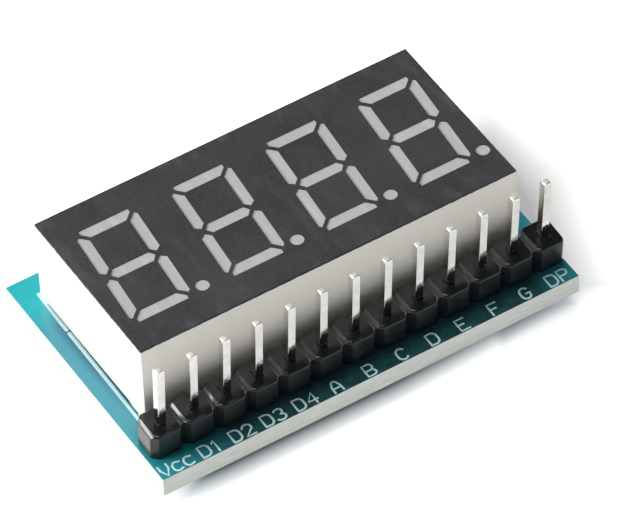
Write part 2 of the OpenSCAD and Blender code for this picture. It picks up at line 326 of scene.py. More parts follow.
def mask_finish():
    material, tree = finish("solder_mask", (0.012, 0.42, 0.47), 0.2, IOR=1.6)
    cloth = grain(tree, CLOTH_GRAIN, 1.0)
    patches = ramp(tree, grain(tree, 5.0, 2.0), 0.35, 0.65)
    at = place_in(tree)
    # Painted light: towards the back the mask is painted lighter and more cyan.
    corner = ramp(tree, at["Y"], 5.5 * MM, 8.5 * MM)
    thin = mixed(tree, patches, (0.045, 0.30, 0.40), (0.050, 0.34, 0.43))
    # A darker band beside the display's left side, from a little in front of its middle to near its
    # back.
    along = times(tree, ramp(tree, at["Y"], 7.0 * MM, 5.0 * MM),
                  ramp(tree, at["Y"], -4.0 * MM, 1.0 * MM))
    beside = times(tree, ramp(tree, at["X"], -15.9 * MM, -15.4 * MM), along)
    darker_band = mixed(tree, times(tree, beside, 0.7), thin, (0.02, 0.13, 0.22))
    back_painted_light = mixed(tree, corner, darker_band, (0.035, 0.53, 0.59))
    # Painted shade: the label strip in front of the display is painted dark. Its two ends keep a
    # lighter colour, painted light where light comes round the header's ends.
    ends = times(tree, ramp(tree, at["X"], -16.6 * MM, -10.0 * MM),
                 ramp(tree, at["X"], 13.5 * MM, 17.2 * MM, 1.0, 0.0))
    front = ramp(tree, at["Y"], -6.0 * MM, -5.0 * MM, 1.0, 0.0)
    painted_strip_shade = mixed(tree, patches, (0.013, 0.056, 0.070), (0.017, 0.070, 0.083))
    greener = mixed(tree, front, back_painted_light, (0.022, 0.36, 0.41))
    toned = mixed(tree, times(tree, ends, front), greener, painted_strip_shade)
    woven = ramp(tree, cloth, 0.3, 0.7, 0.0, 0.12)
    wire_mask(tree, cloth, mixed(tree, woven, toned, (0.02, 0.30, 0.36)))
    return material


def under_mask_finish():
    """The mask of the underside, plain, without the painted light and shade of the top."""
    material, tree = finish("under_mask", (0.028, 0.25, 0.28), 0.2, IOR=1.6)
    cloth = grain(tree, CLOTH_GRAIN, 1.0)
    woven = ramp(tree, cloth, 0.3, 0.7)
    wire_mask(tree, cloth, mixed(tree, woven, (0.026, 0.235, 0.265), (0.031, 0.27, 0.30)))
    return material


def laminate_finish():
    material, tree = finish("laminate_edge", (0.74, 0.76, 0.70), 0.6)
    layers = grain(tree, 0.16, 3.0, stretch=(0.12, 0.12, 1.0))
    fibres = grain(tree, 0.12, 4.0)
    pale = mixed(tree, ramp(tree, layers, 0.35, 0.65), (0.58, 0.61, 0.57), (0.68, 0.72, 0.67))
    dusty = mixed(tree, ramp(tree, fibres, 0.60, 0.75), pale, (0.52, 0.53, 0.48))
    wire(tree, Base_Color=dusty,
         Roughness=ramp(tree, fibres, 0.3, 0.7, 0.45, 0.75),
         Normal=relief(tree, fibres, 0.02, relief(tree, layers, 0.015)))
    return material


# %% Board piece
board_lo, board_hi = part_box("circuit_board")
board = remade("circuit_board", "board")
TOUCH = 0.001 * MM
BOARD_ROUND = 0.05 * MM
SHARP = 1


def on_side(point, lo, hi, axis):
    """True for a point on one of the two sides of a box that face along the axis."""
    value = getattr(point, axis)
    return min(abs(value - getattr(lo, axis)), abs(value - getattr(hi, axis))) < TOUCH


def on_outline(point, lo, hi):
    """True for a point on the upright sides of a box."""
    return on_side(point, lo, hi, "x") or on_side(point, lo, hi, "y")


def is_board_edge(e):
    around = all(on_outline(v.co, board_lo, board_hi) for v in e.verts)
    return around and e.calc_face_angle(0) > SHARP


edit(board)
pick(board, "edges", is_board_edge)
bpy.ops.mesh.bevel(offset=BOARD_ROUND, segments=2, affect="EDGES")
close()
for vertex in board.data.vertices:
    vertex.co.y = min(vertex.co.y, board_hi.y)
paint(board, mask_finish(), laminate_finish(), under_mask_finish())
CUT_SIDE, UNDERSIDE = 1, 2
for face in board.data.polygons:
    if abs(face.normal.z) < 0.9:
        face.material_index = CUT_SIDE
    elif face.normal.z < 0:
        face.material_index = UNDERSIDE
smooth(board)
adopt(board, "circuit_board", "circuit_board")
print("board faces:", len(board.data.polygons))

# %% [markdown]
# ## Printed lines and letters
# The white print on a board is ink pushed through a screen: flat strokes of one width with round
# ends. A curve with a round bevel, filled at its ends and pressed flat, gives just that. Every
# letter is a few strokes in a box one unit high, and arcs stand for the round parts.
# %% Stroke letters
ARC_STEPS = 6


def arc(x, y, rx, ry, start, end):
    """Points of an elliptic arc, with its angles in degrees."""
    angles = [math.radians(start + (end - start) * i / ARC_STEPS) for i in range(ARC_STEPS + 1)]
    return [(x + rx * math.cos(a), y + ry * math.sin(a)) for a in angles]


BOWL = arc(0.40, 0.74, 0.26, 0.26, 90, -90)
C_STROKE = arc(0.35, 0.65, 0.33, 0.35, 35, 180) + arc(0.35, 0.35, 0.33, 0.35, 180, 325)
LETTERS = {
    "A": [[(0, 0), (0.02, 0.50)] + arc(0.33, 0.62, 0.24, 0.36, 165, 15)
          + [(0.64, 0.50), (0.66, 0)], [(0.02, 0.36), (0.64, 0.36)]],
    "B": [[(0.40, 0.48), (0, 0.48), (0, 1), (0.40, 1)] + BOWL,
          [(0.40, 0.48)] + arc(0.42, 0.24, 0.28, 0.24, 90, -90) + [(0, 0), (0, 0.48)]],
    "C": [C_STROKE],
    "D": [[(0, 0), (0, 1), (0.36, 1)] + arc(0.36, 0.66, 0.34, 0.34, 90, 0)
          + arc(0.36, 0.34, 0.34, 0.34, 0, -90) + [(0, 0)]],
    "E": [[(0.66, 1), (0, 1), (0, 0), (0.66, 0)], [(0, 0.52), (0.46, 0.52)]],
    "F": [[(0.66, 1), (0, 1), (0, 0)], [(0, 0.52), (0.46, 0.52)]],
    "G": [C_STROKE + [(0.68, 0.46), (0.40, 0.46)]],
    "P": [[(0, 0), (0, 1), (0.40, 1)] + BOWL + [(0, 0.48)]],
    "V": [[(0, 1), (0, 0.6), (0.30, 0), (0.60, 0.6), (0.60, 1)]],
    "c": [[(0.60, 0.70)] + arc(0.31, 0.44, 0.31, 0.34, 60, 180)
          + arc(0.31, 0.34, 0.31, 0.34, 180, 300) + [(0.60, 0.08)]],
    "1": [[(0.08, 0.82), (0.26, 1), (0.26, 0)]],
    "2": [arc(0.33, 0.68, 0.33, 0.32, 165, -25) + [(0, 0), (0.68, 0)]],
    "3": [arc(0.33, 0.75, 0.31, 0.25, 150, -80) + arc(0.33, 0.25, 0.35, 0.26, 80, -150)],
    "4": [[(0.52, 0), (0.52, 1), (0, 0.32), (0.70, 0.32)]]}

# %% Ink strokes
INK_T = 0.02 * MM


def ink_finish():
    material, tree = finish("printed_ink", (0.68, 0.95, 0.98), 0.5)
    thin = ramp(tree, grain(tree, 0.12, 4.0), 0.52, 0.78)
    wire(tree, Base_Color=mixed(tree, thin, (0.68, 0.95, 0.98), (0.28, 0.54, 0.60)),
         Normal=relief(tree, grain(tree, 0.08), 0.006))
    return material


ink = ink_finish()


def strokes_of(lines, width, name):
    """Ink strokes through lists of points in the board's plane, at height 0."""
    curve = bpy.data.curves.new(name, "CURVE")
    curve.dimensions = "3D"
    curve.bevel_depth = width / 2
    curve.bevel_resolution = 1
    curve.use_fill_caps = True
    for line in lines:
        spline = curve.splines.new("POLY")
        spline.points.add(len(line) - 1)
        for point, (x, y) in zip(spline.points, line):
            point.co = (x, y, 0, 1)
    piece = bpy.data.objects.new(name, curve)
    bpy.context.scene.collection.objects.link(piece)
    only(piece)
    bpy.ops.object.convert(target="MESH")
    piece = bpy.context.object
    ends = {p for line in lines for p in (line[0], line[-1])}
    parts = [piece]
    for x, y in ends:
        bpy.ops.mesh.primitive_uv_sphere_add(segments=8, ring_count=4, radius=width / 2,
                                             location=(x, y, 0))
        parts.append(bpy.context.object)
    return joined(parts, name)


def pressed(piece, level, side=1, thickness=INK_T, material=ink):
    """Presses strokes flat and lays them on a level surface, on its upper or lower side."""
    squeeze = Matrix.Diagonal((1, 1, thickness / piece.dimensions.z, 1))
    piece.data.transform(Matrix.Translation((0, 0, level + side * thickness * 0.2)) @ squeeze)
    paint(piece, material)
    smooth(piece, 60)
    return piece


# %% [markdown]
# The labels name the header's pins: the supply, the four digits, the seven strokes and the point.
# Each label is centred in front of its pin, a little to the left, on a base line just inside the
# board's edge. Some are nudged a little further, since the print isn't quite even.
# %% Pin labels
LABELS = ["Vcc", "D1", "D2", "D3", "D4", "A", "B", "C", "D", "E", "F", "G", "DP"]
LETTER_H = 1.02 * MM
LETTER_GAP = 0.26
INK_W = 0.16 * MM
BASE_LINE = 0.16 * MM
LABEL_SHIFT = -0.13 * MM
LABEL_NUDGE = {"D1": -0.05, "D2": 0.05, "A": -0.13, "E": -0.18, "F": -0.12, "G": -0.16,
               "DP": -0.05}


def label_lines(text, centre_x, base_y):
    """The strokes of a label, each letter as wide as it is and the same gap between them."""
    lines, pen = [], 0.0
    for letter in text:
        lines += [[(pen + x, y) for x, y in line] for line in LETTERS[letter]]
        pen = max(x for line in lines for x, y in line) + LETTER_GAP
    half = (pen - LETTER_GAP) / 2
    return [[(centre_x + (x - half) * LETTER_H, base_y + y * LETTER_H) for x, y in line]
            for line in lines]


def middle_of(node):
    lo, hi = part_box(node)
    return (lo + hi) / 2


lines = []
for i, text in enumerate(LABELS):
    nudge = LABEL_NUDGE.get(text, 0) * MM
    centre_x = middle_of(f"header_pin_{i + 1}").x + LABEL_SHIFT + nudge
    lines += label_lines(text, centre_x, board_lo.y + BASE_LINE)
nearest = min(x for line in lines for x, y in line)
assert nearest > board_lo.x + INK_W / 2, "the first label runs over the board's end"
labels = pressed(strokes_of(lines, INK_W, "pin_labels"), board_hi.z)
adopt(labels, "circuit_board")
print("label strokes:", len(lines))

# %% [markdown]
# The display's footprint is printed as an outline. It shows as a white line beside the left wall,
# and it is printed a little askew, so the line widens to the front. The ink has a break in it.
# %% Footprint outline
house_lo, house_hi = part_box("display_housing")
LINE_W = 0.33 * MM
LINE_GAP = 0.21 * MM
ASKEW = 0.17 * MM
BREAK_Y = (4.35 * MM, 4.75 * MM)

x0, x1 = house_lo.x - LINE_GAP, house_hi.x + LINE_GAP
y0, y1 = house_lo.y - LINE_GAP, house_hi.y + LINE_GAP


def left_x(y):
    return x0 + ASKEW * (y - y0) / (y1 - y0)


outline = [[(left_x(BREAK_Y[1]), BREAK_Y[1]), (left_x(y1), y1), (x1, y1), (x1, y0), (x0, y0),
            (left_x(BREAK_Y[0]), BREAK_Y[0])]]
display_print = pressed(strokes_of(outline, LINE_W, "display_outline"), board_hi.z)
adopt(display_print, "circuit_board")

# %% [markdown]
# ## The display housing
# The block is moulded in one piece from pale grey plastic, with the wells for the strokes open at
# the top. Its sides are satin and slightly dusty. The dark face paint has crept a hair over the
# upper edge. A painted shade darkens a thin line along the foot of the side walls, which stand
# just clear of the board. The CAD shape is right, so only its outer edges are rounded.
# %% Housing
FOOT_TOP = board_hi.z + 0.2 * MM
HOUSING_ROUND = 0.06 * MM


def housing_finish():
    material, tree = finish("housing_plastic", (0.80, 0.785, 0.72), 0.5, IOR=1.45)
    at = place_in(tree)
    ragged = grain(tree, 0.5, 4.0, stretch=(1, 1, 0))
    edge = math_of(tree, "ADD", at["Z"], times(tree, ragged, 0.16 * MM))
    crept = ramp(tree, edge, house_hi.z + 0.02 * MM, house_hi.z + 0.05 * MM)
    dust = ramp(tree, grain(tree, 4.0, 3.0), 0.35, 0.75)
    plastic = mixed(tree, dust, (0.83, 0.815, 0.755), (0.82, 0.805, 0.745))
    # Painted shade: a thin black line along the foot of the side walls.
    gap_shade_top = ramp(tree, at["Y"], -3.6 * MM, 7.0 * MM, FOOT_TOP + 0.16 * MM, FOOT_TOP + 0.02 * MM)
    level = math_of(tree, "SUBTRACT", at["Z"], gap_shade_top)
    ends = times(tree, ramp(tree, at["Y"], -3.9 * MM, -3.3 * MM),
                 ramp(tree, at["Y"], 7.4 * MM, 6.8 * MM))
    gap_shade = times(tree, ends, ramp(tree, level, 0.0, 0.03 * MM, 1.0, 0.0))
    plastic_and_gap_shade = mixed(tree, gap_shade, plastic, (0.012, 0.012, 0.012))
    wire(tree, Base_Color=mixed(tree, crept, plastic_and_gap_shade, (0.08, 0.08, 0.085)),
         Roughness=ramp(tree, grain(tree, 0.8), 0.3, 0.7, 0.46, 0.52),
         Normal=relief(tree, grain(tree, 0.3, 2.0), 0.0002))
    return material


housing = remade("display_housing", "housing")


def is_outer_corner(e):
    """True for an edge where two outer sides meet, or a side and the face."""
    at = middle(e)
    sides = on_side(at, house_lo, house_hi, "x") + on_side(at, house_lo, house_hi, "y")
    top = abs(at.z - house_hi.z) < TOUCH
    return sides + top >= 2 and e.calc_face_angle(0) > SHARP


edit(housing)
pick(housing, "edges", is_outer_corner)
bpy.ops.mesh.bevel(offset=HOUSING_ROUND, segments=3, affect="EDGES")
close()
paint(housing, housing_finish())
smooth(housing)
adopt(housing, "housing_plastic", "display_housing")
print("housing faces:", len(housing.data.polygons))

# %% [markdown]
# ## The dark face
# A thin coat of dark grey paint covers the face, all but the strokes. It is rubbed paler in
# patches, most of all near the rim. Its outer edge is not quite straight. The copy of the CAD coat
# has its outline cut finely, and each new point is moved a few hundredths of a millimetre by
# noise, as a hand would nudge it in sculpting.
# %% Face coat
coat_lo, coat_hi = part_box("face_coat")
coat_mid = (coat_lo + coat_hi) / 2
EDGE_NOISE = 0.03 * MM
EDGE_CUTS = 90


def coat_finish():
    material, tree = finish("face_coat", (0.045, 0.046, 0.050), 0.42, IOR=1.42)
    at = place_in(tree)
    half = (coat_hi - coat_lo) / 2
    inside = []
    for axis in "xy":
        off = math_of(tree, "SUBTRACT", at[axis.upper()], getattr(coat_mid, axis))
        off = math_of(tree, "ABSOLUTE", off, 0.0)
        inside.append(math_of(tree, "SUBTRACT", getattr(half, axis), off))
    rim = ramp(tree, math_of(tree, "MINIMUM", *inside), 0.3 * MM, 1.5 * MM, 1.0, 0.0)
    cloud = ramp(tree, grain(tree, 4.0, 4.0), 0.35, 0.7)
    patchy = ramp(tree, grain(tree, 1.1, 5.0, stretch=(1, 0.5, 1), turn=(0, 0, 0.5)), 0.5, 0.72)
    rubbed = times(tree, patchy, math_of(tree, "ADD", times(tree, rim, 0.75), 0.25))
    scratches = grain(tree, 1.2, 6.0, stretch=(1, 0.16, 1), turn=(0, 0, 0.5))
    scuff = ramp(tree, scratches, 0.6, 0.8, 0.0, 0.6)
    speck = ramp(tree, grain(tree, 0.11, 1.0), 0.80, 0.84)
    sand = ramp(tree, grain(tree, 0.17, 2.0), 0.3, 0.7)
    fine = mixed(tree, sand, (0.030, 0.0315, 0.035), (0.052, 0.054, 0.0575))
    base = mixed(tree, times(tree, cloud, 0.5), fine, (0.053, 0.055, 0.058))
    scuffed = mixed(tree, math_of(tree, "MAXIMUM", scuff, rubbed), base, (0.080, 0.083, 0.087))
    wire(tree, Base_Color=mixed(tree, speck, scuffed, (0.22, 0.22, 0.22)),
         Roughness=ramp(tree, cloud, 0, 1, 0.36, 0.48),
         Normal=relief(tree, grain(tree, 0.1, 3.0), 0.004))
    return material


def is_long_coat_edge(e):
    around = all(on_outline(v.co, coat_lo, coat_hi) for v in e.verts)
    return around and e.calc_length() > 1 * MM


coat = remade("face_coat", "face_paint", whole=False)
edit(coat)
pick(coat, "edges", is_long_coat_edge)
bpy.ops.mesh.subdivide(number_cuts=EDGE_CUTS)
close()
for vertex in coat.data.vertices:
    at = vertex.co.copy()
    wave = 0.6 * noise.noise(at / (1.6 * MM)) + 0.4 * noise.noise(at / (0.4 * MM))
    if on_side(at, coat_lo, coat_hi, "x"):
        vertex.co.x += EDGE_NOISE * wave
    if on_side(at, coat_lo, coat_hi, "y"):
        vertex.co.y += EDGE_NOISE * wave
paint(coat, coat_finish())
adopt(coat, "face_coat", "face_coat")
print("face paint faces:", len(coat.data.polygons))

# %% [markdown]
# ## The strokes and the inside of the display
# The strokes are the tops of milky resin that fills the wells, ground level with the face, so
# they carry fine slanted grinding marks. The chips, wires and their board are sealed in, and keep
# their CAD shapes with fitting finishes.
# %% Resin, chip board, chips and wires
def resin_finish():
    material, tree = finish("segment_resin", (0.56, 0.57, 0.54), 0.5)
    marks = grain(tree, 0.5, 4.0, stretch=(1, 0.08, 1), turn=(0, 0, 0.9))
    milk = grain(tree, 1.0, 3.0)
    base = mixed(tree, ramp(tree, milk, 0.35, 0.65), (0.55, 0.56, 0.54), (0.59, 0.60, 0.575))
    sandy = mixed(tree, ramp(tree, grain(tree, 0.13, 2.0), 0.35, 0.65), (0.52, 0.525, 0.505), base)
    wire(tree, Base_Color=mixed(tree, ramp(tree, marks, 0.5, 0.75), sandy, (0.62, 0.63, 0.61)),
         Roughness=ramp(tree, marks, 0.3, 0.7, 0.4, 0.6),
         Normal=relief(tree, marks, 0.004))
    return material


def grained_finish(name, light, dark, size, roughness, **sockets):
    """A plain finish with cloudy colour and a fine relief, for small and hidden pieces."""
    material, tree = finish(name, light, roughness, **sockets)
    cloud = grain(tree, size, 4.0)
    wire(tree, Base_Color=mixed(tree, ramp(tree, cloud, 0.35, 0.65), light, dark),
         Roughness=ramp(tree, cloud, 0.3, 0.7, roughness - 0.06, roughness + 0.06),
         Normal=relief(tree, cloud, 0.003))
    return material


nodes = frame["nodes"]
green = grained_finish("chip_board_mask", (0.03, 0.16, 0.06), (0.02, 0.12, 0.05), 0.5, 0.3)
amber = grained_finish("light_chip", (0.55, 0.45, 0.12), (0.45, 0.34, 0.08), 0.1, 0.3)
gold = grained_finish("gold_wire", (0.85, 0.62, 0.25), (0.75, 0.52, 0.2), 0.05, 0.25, Metallic=1.0)
paint(nodes["segment_resin"], resin_finish())
paint(nodes["chip_board"], green)
paint(nodes["light_chips"], amber)
paint(nodes["bond_wires"], gold)

# %% [markdown]
# ## The header strip
# The black strip is moulded in satin plastic. Cut corners and a V groove let it snap apart after
# any pin. Its long top edges are well rounded and every other edge a little, which is where such
# plastic shines. The top is glossy and the sides are duller. The grooves are painted paler, a
# painted highlight for the shine they catch, and the left end, where the strip was cut, is paler.
# %% Header strip
LONG_ROUND = 0.17 * MM
SMALL_ROUND = 0.03 * MM


def header_finish(name, light, dark, roughness, mirror=1.46):
    material, tree = finish(name, light, roughness, IOR=mirror)
    haze = grain(tree, 0.7, 4.0)
    wire(tree, Base_Color=mixed(tree, ramp(tree, haze, 0.4, 0.7), dark, light),
         Roughness=ramp(tree, haze, 0.3, 0.7, roughness - 0.03, roughness + 0.03),
         Normal=relief(tree, grain(tree, 0.25, 3.0), 0.002))
    return material


strip = remade("header_strip", "pin_strip")


def on_long_edge(e):
    """An edge between the top and the front or back of the strip."""
    up = any(f.normal.z > 0.9 for f in e.link_faces)
    return up and any(abs(f.normal.y) > 0.6 and f.normal.z < 0.5 for f in e.link_faces)


edit(strip)
pick(strip, "edges", on_long_edge)
bpy.ops.mesh.bevel(offset=LONG_ROUND, segments=5, affect="EDGES")
close()
round_edges(strip, SMALL_ROUND)
# The groove finish is painted paler than the rest: a painted highlight for the grooves' shine.
paint(strip,
      header_finish("header_top", (0.017, 0.018, 0.019), (0.009, 0.010, 0.011), 0.14, 1.6),
      header_finish("header_groove_painted_highlight", (0.11, 0.11, 0.115), (0.07, 0.07, 0.075), 0.22, 1.62),
      header_finish("header_side", (0.010, 0.012, 0.014), (0.005, 0.007, 0.008), 0.34),
      header_finish("header_end", (0.07, 0.066, 0.070), (0.05, 0.048, 0.050), 0.14))
strip_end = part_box("header_strip")[0].x
GROOVE, SIDE, END = 1, 2, 3
for face in strip.data.polygons:
    if abs(face.normal.x) > 0.6 and face.normal.z > 0.6 and face.area > 0.1 * MM * MM:
        face.material_index = GROOVE
    elif face.normal.x < -0.9 and abs(face.center.x - strip_end) < TOUCH:
        face.material_index = END
    elif face.normal.z < 0.5:
        face.material_index = SIDE
smooth(strip)
adopt(strip, "header_plastic", "header_strip")
print("strip faces:", len(strip.data.polygons))

# %% [markdown]
# ## The header pins
# Each pin is a square bar cut from tinned wire. The cutting tool tapers both ends and leaves a
# dull, torn face on each. One pin is modelled: a cube is stretched to the bar, its two end faces
# are extruded and made smaller, and its edges are rounded. Then it is copied 13 times.
# %% One header pin
PIN_W = 0.60 * MM
PIN_TIP = 0.17 * MM
PIN_FLAT = 0.46 * MM
PIN_ROUND = 0.035 * MM


def pin_finish():
    material, tree = finish("tinned_metal", (0.86, 0.84, 0.79), 0.2, Metallic=1.0)
    drawn = grain(tree, 0.5, 5.0, stretch=(6, 6, 0.3))
    cloud = ramp(tree, grain(tree, 0.6, 3.0), 0.4, 0.7)
    wire(tree, Base_Color=mixed(tree, cloud, (0.87, 0.855, 0.81), (0.78, 0.765, 0.72)),
         Roughness=ramp(tree, drawn, 0.3, 0.7, 0.06, 0.12),
         Normal=relief(tree, drawn, 0.0006))
    return material


def cut_end_finish():
    """The sheared end of a pin: the same metal, torn dull."""
    material, tree = finish("sheared_end", (0.78, 0.76, 0.70), 0.5, Metallic=0.5)
    torn = grain(tree, 0.12, 4.0, stretch=(1, 0.4, 1))
    dull = ramp(tree, torn, 0.4, 0.7)
    wire(tree, Base_Color=mixed(tree, dull, (0.80, 0.78, 0.73), (0.66, 0.65, 0.60)),
         Roughness=ramp(tree, torn, 0.3, 0.7, 0.42, 0.58),
         Normal=relief(tree, torn, 0.004))
    return material


tin = pin_finish()
sheared = cut_end_finish()


def square_pin(length):
    """A square pin that stands on the origin along +Z, with both ends tapered."""
    bpy.ops.mesh.primitive_cube_add(size=1, location=(0, 0, length / 2))
    pin = bpy.context.object
    pin.scale = (PIN_W, PIN_W, length - 2 * PIN_TIP)
    settle(pin)
    edit(pin)
    for way in (1, -1):
        pick(pin, "faces", lambda f: f.normal.z * way > 0.9)
        extrude((0, 0, way * PIN_TIP), (PIN_FLAT / PIN_W, PIN_FLAT / PIN_W))
    close()
    round_edges(pin, PIN_ROUND, angle=20)
    paint(pin, tin, sheared)
    for face in pin.data.polygons:
        face.material_index = 1 if abs(face.normal.z) > 0.98 else 0
    smooth(pin)
    return pin


# %% [markdown]
# The middle of a CAD pin's box gives each pin its place. The strip leans forward a little, and the
# pins with it, but for the play in their holes. No row of pins is quite parallel, so the last ones
# also lean a little to one side, each about the place where it leaves the strip.
# %% Header pins in place
row_y = middle_of("header_solder").y
strip_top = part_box("header_strip")[1].z
LEAN = math.radians(3.6)
ASIDE = math.radians(1.2)
pin_lo, pin_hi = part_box("header_pin_1")
pin_length = (pin_hi.z - pin_lo.z - PIN_FLAT * (math.sin(LEAN) + math.sin(ASIDE))) / math.cos(LEAN)
model_pin = square_pin(pin_length)
for i in range(len(LABELS)):
    centre = middle_of(f"header_pin_{i + 1}")
    aside = ASIDE * max(0.0, (i - 2) / 10) + math.radians(random.uniform(-0.3, 0.3))
    foot = Vector((centre.x, row_y, strip_top))
    place = (Matrix.Translation(foot) @ Matrix.Rotation(aside, 4, "Y") @ Matrix.Translation(-foot)
             @ Matrix.Translation(centre) @ Matrix.Rotation(LEAN, 4, "X")
             @ Matrix.Translation((0, 0, -pin_length / 2)))
    pin = copied(model_pin, f"pin_{i + 1}", place)
    adopt(pin, "tinned_pin", f"header_pin_{i + 1}")
bpy.data.objects.remove(model_pin)
print("header pins:", len(LABELS), "length", round(pin_length / MM, 2), "mm")

# %% [markdown]
# ## The display's pins
# Twelve round pins come out of the chip board, pass through the board and were clipped after
# soldering. Pliers leave a blunt chisel end, which two bisecting planes cut from a cylinder.
# %% Display pins
LEAD_ROUND = 0.02 * MM


def clipped_pin(radius, length):
    """A round pin that stands on the origin, with a chisel end at the bottom."""
    bpy.ops.mesh.primitive_cylinder_add(vertices=20, radius=radius, depth=length,
                                        location=(0, 0, length / 2))
    pin = bpy.context.object
    settle(pin)
    edit(pin)
    for way in (1, -1):
        bpy.ops.mesh.select_all(action="SELECT")
        bpy.ops.mesh.bisect(plane_co=(way * radius * 0.12, 0, 0), plane_no=(way * 0.8, 0, -0.6),
                            use_fill=True, clear_outer=True)
    close()
    round_edges(pin, LEAD_ROUND)
    paint(pin, tin)
    smooth(pin)
    return pin


DISPLAY_PINS = 12
lo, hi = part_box("display_pin_1")
model_pin = clipped_pin((hi.x - lo.x) / 2, hi.z - lo.z)
for i in range(DISPLAY_PINS):
    centre = middle_of(f"display_pin_{i + 1}")
    turn = Matrix.Rotation(random.uniform(0, math.pi), 4, "Z")
    pin = copied(model_pin, f"display_lead_{i + 1}",
                 Matrix.Translation((centre.x, centre.y, lo.z)) @ turn)
    adopt(pin, "tinned_pin", f"display_pin_{i + 1}")
bpy.data.objects.remove(model_pin)
print("display pins:", DISPLAY_PINS)

# %% [markdown]
# ## The solder joints
# Molten solder climbs a pin and wets its ring of copper, so a good joint is a hollow cone: steep
# at the pin, flat at the board. One joint is drawn by extruding a disc downwards in steps, each
# ring smaller than the last by that curve, and upwards through the hole. Its copies differ a
# little in height and width, as joints made by hand do.
# %% One solder joint
def solder_finish():
    material, tree = finish("solder_metal", (0.72, 0.72, 0.70), 0.25, Metallic=1.0)
    frost = grain(tree, 0.12, 4.0)
    dull = ramp(tree, frost, 0.45, 0.75)
    wire(tree, Base_Color=mixed(tree, dull, (0.74, 0.74, 0.72), (0.55, 0.55, 0.53)),
         Roughness=ramp(tree, frost, 0.3, 0.7, 0.16, 0.42),
         Normal=relief(tree, frost, 0.006))
    return material


solder = solder_finish()
CONE_SIDES = 24
CONE_STEPS = 7
CONE_HOLLOW = 2.2


def solder_cone(foot_r, pin_r, depth, hole_r, board_t):
    """A joint whose foot is at height 0, with its cone below and its hole filled above."""
    bpy.ops.mesh.primitive_circle_add(vertices=CONE_SIDES, radius=foot_r, fill_type="NGON")
    joint = bpy.context.object
    edit(joint)
    radius = foot_r
    for i in range(CONE_STEPS):
        share = 1 - (i + 1) / CONE_STEPS
        new_radius = pin_r + (foot_r - pin_r) * share ** CONE_HOLLOW
        extrude((0, 0, -depth / CONE_STEPS), (new_radius / radius, new_radius / radius))
        radius = new_radius
    pick(joint, "faces",
         lambda f: len(f.verts) == CONE_SIDES and abs(f.calc_center_median().z) < TOUCH)
    bpy.ops.mesh.inset(thickness=foot_r - hole_r)
    extrude((0, 0, board_t))
    close_outwards()
    paint(joint, solder)
    smooth(joint, 50)
    return joint


def soldered(name, node, spots, foot_r, pin_r, hole_r):
    """Joints at the given x and y, joined to one piece that stands for the CAD node."""
    lo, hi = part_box(node)
    depth = board_lo.z - lo.z
    model = solder_cone(foot_r, pin_r, depth, hole_r, hi.z - board_lo.z)
    joints = []
    for x, y in spots:
        wide, high = random.uniform(0.94, 1.0), random.uniform(0.82, 1.0)
        turn = Matrix.Rotation(random.uniform(0, 6), 4, "Z")
        place = Matrix.Translation((x, y, board_lo.z)) @ turn @ Matrix.Diagonal((wide, 1, high, 1))
        joints.append(copied(model, "joint", place))
    bpy.data.objects.remove(model)
    adopt(joined(joints, name), "solder", node)


# %% Solder joints in place
header_spots = [(middle_of(f"header_pin_{i + 1}").x, row_y) for i in range(len(LABELS))]
display_spots = [middle_of(f"display_pin_{i + 1}").xy for i in range(DISPLAY_PINS)]
soldered("header_joints", "header_solder", header_spots,
         foot_r=0.85 * MM, pin_r=0.34 * MM, hole_r=0.54 * MM)
soldered("display_joints", "display_solder", display_spots,
         foot_r=0.75 * MM, pin_r=0.26 * MM, hole_r=0.39 * MM)

# %% [markdown]
# ## The chip resistors
# A chip resistor is a white ceramic brick with a dark glaze over its resistive film and tinned
# caps on both ends. It hangs under the board here, so the glazed face looks down. The brick and
# the caps are cubes with rounded edges, and the glaze is an inset face, pushed out a little.
# %% One resistor
ceramic = grained_finish("ceramic", (0.72, 0.71, 0.67), (0.64, 0.63, 0.58), 0.2, 0.5)
glaze = grained_finish("resistor_glaze", (0.012, 0.013, 0.014), (0.03, 0.03, 0.032), 0.25, 0.3)
CAP_L = 0.3 * MM
CAP_T = 0.03 * MM
CAP_ROUND = 0.06 * MM
BRICK_ROUND = 0.02 * MM
GLAZE_RIM = 0.05 * MM
GLAZE_T = 0.015 * MM
GLAZED, TINNED = 1, 2


def block(size, at, edge):
    """A cube of a size around a place, with rounded edges."""
    bpy.ops.mesh.primitive_cube_add(size=1, location=at)
    piece = bpy.context.object
    piece.scale = size
    settle(piece)
    round_edges(piece, edge)
    return piece


def resistor_model(lo, hi):
    size, at = hi - lo, (lo + hi) / 2
    body = block(size - Vector((CAP_T, CAP_T, CAP_T)) * 2, at, BRICK_ROUND)
    paint(body, ceramic, glaze, tin)
    edit(body)
    pick(body, "faces", lambda f: f.normal.z < -0.99 and f.calc_area() > 0.5 * MM * MM)
    bpy.ops.mesh.inset(thickness=GLAZE_RIM)
    extrude((0, 0, -GLAZE_T))
    body.active_material_index = GLAZED
    bpy.ops.object.material_slot_assign()
    close()
    parts = [body]
    for way in (1, -1):
        end = at + Vector((0, way * (size.y - CAP_L) / 2, 0))
        cap = block((size.x, CAP_L, size.z), end, CAP_ROUND)
        paint(cap, ceramic, glaze, tin)
        for face in cap.data.polygons:
            face.material_index = TINNED
        parts.append(cap)
    piece = joined(parts, "resistor_model")
    smooth(piece)
    return piece


